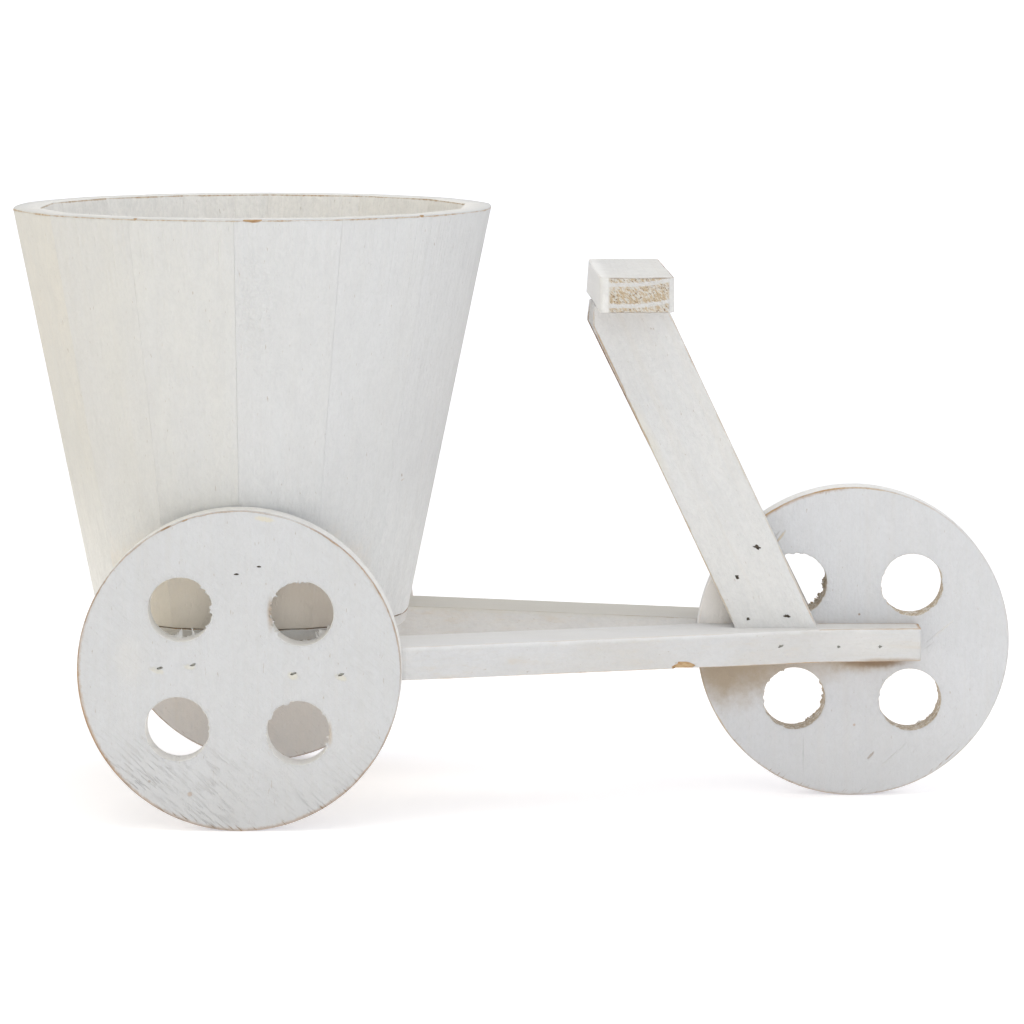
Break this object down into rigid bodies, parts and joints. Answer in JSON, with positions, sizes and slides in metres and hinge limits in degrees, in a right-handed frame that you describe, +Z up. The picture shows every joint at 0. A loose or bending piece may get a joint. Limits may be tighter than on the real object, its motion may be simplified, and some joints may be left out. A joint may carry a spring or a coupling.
{
  "type": "tricycle planter",
  "caption": "Whitewashed wooden planter shaped like a tricycle: a stave bucket on drilled disc wheels, with leaning posts and a handlebar block.",
  "frame": {"origin": "on the ground, under the middle of the planter's outline", "axes": "+X towards the front wheel, +Y to the planter's left side, +Z up"},
  "size_m": [0.5465, 0.2632, 0.326],
  "materials": {
    "whitewashed_stave": "matt whitewash over vertical wood grain, worn to bare wood at the rim",
    "whitewashed_disc": "matt whitewash over wood, worn brown along the rims and torn inside the drilled holes",
    "whitewashed_board": "matt whitewash over wood, worn brown along the edges",
    "whitewashed_bar": "matt whitewash with open, speckled end grain",
    "brad_wire": "dark oxidised steel wire"
  },
  "bodies": {
    "root": {"stave_01": "whitewashed_stave", "stave_02": "whitewashed_stave", "stave_03": "whitewashed_stave", "stave_04": "whitewashed_stave", "stave_05": "whitewashed_stave", "stave_06": "whitewashed_stave", "stave_07": "whitewashed_stave", "stave_08": "whitewashed_stave", "stave_09": "whitewashed_stave", "stave_10": "whitewashed_stave", "stave_11": "whitewashed_stave", "stave_12": "whitewashed_stave", "stave_13": "whitewashed_stave", "stave_14": "whitewashed_stave", "bucket_floor": "whitewashed_stave", "wheel_rear_right": "whitewashed_disc", "wheel_rear_left": "whitewashed_disc", "wheel_front": "whitewashed_disc", "rail_right": "whitewashed_board", "rail_left": "whitewashed_board", "post_right": "whitewashed_board", "post_left": "whitewashed_board", "handlebar": "whitewashed_bar", "wheel_right_brad_1": "brad_wire", "wheel_right_brad_2": "brad_wire", "wheel_right_brad_3": "brad_wire", "wheel_right_brad_4": "brad_wire", "wheel_right_brad_5": "brad_wire", "wheel_right_brad_6": "brad_wire", "rail_right_brad_1": "brad_wire", "rail_right_brad_2": "brad_wire", "rail_right_brad_3": "brad_wire", "post_right_brad_1": "brad_wire", "post_right_brad_2": "brad_wire", "post_right_brad_3": "brad_wire", "post_right_brad_4": "brad_wire", "handlebar_right_brad_1": "brad_wire", "handlebar_right_brad_2": "brad_wire", "wheel_left_brad_1": "brad_wire", "wheel_left_brad_2": "brad_wire", "wheel_left_brad_3": "brad_wire", "wheel_left_brad_4": "brad_wire", "wheel_left_brad_5": "brad_wire", "wheel_left_brad_6": "brad_wire", "rail_left_brad_1": "brad_wire", "rail_left_brad_2": "brad_wire", "rail_left_brad_3": "brad_wire", "post_left_brad_1": "brad_wire", "post_left_brad_2": "brad_wire", "post_left_brad_3": "brad_wire", "post_left_brad_4": "brad_wire", "handlebar_left_brad_1": "brad_wire", "handlebar_left_brad_2": "brad_wire", "floor_brad_1": "brad_wire", "floor_brad_2": "brad_wire", "floor_brad_3": "brad_wire", "floor_brad_4": "brad_wire"}
  },
  "joints": []
}
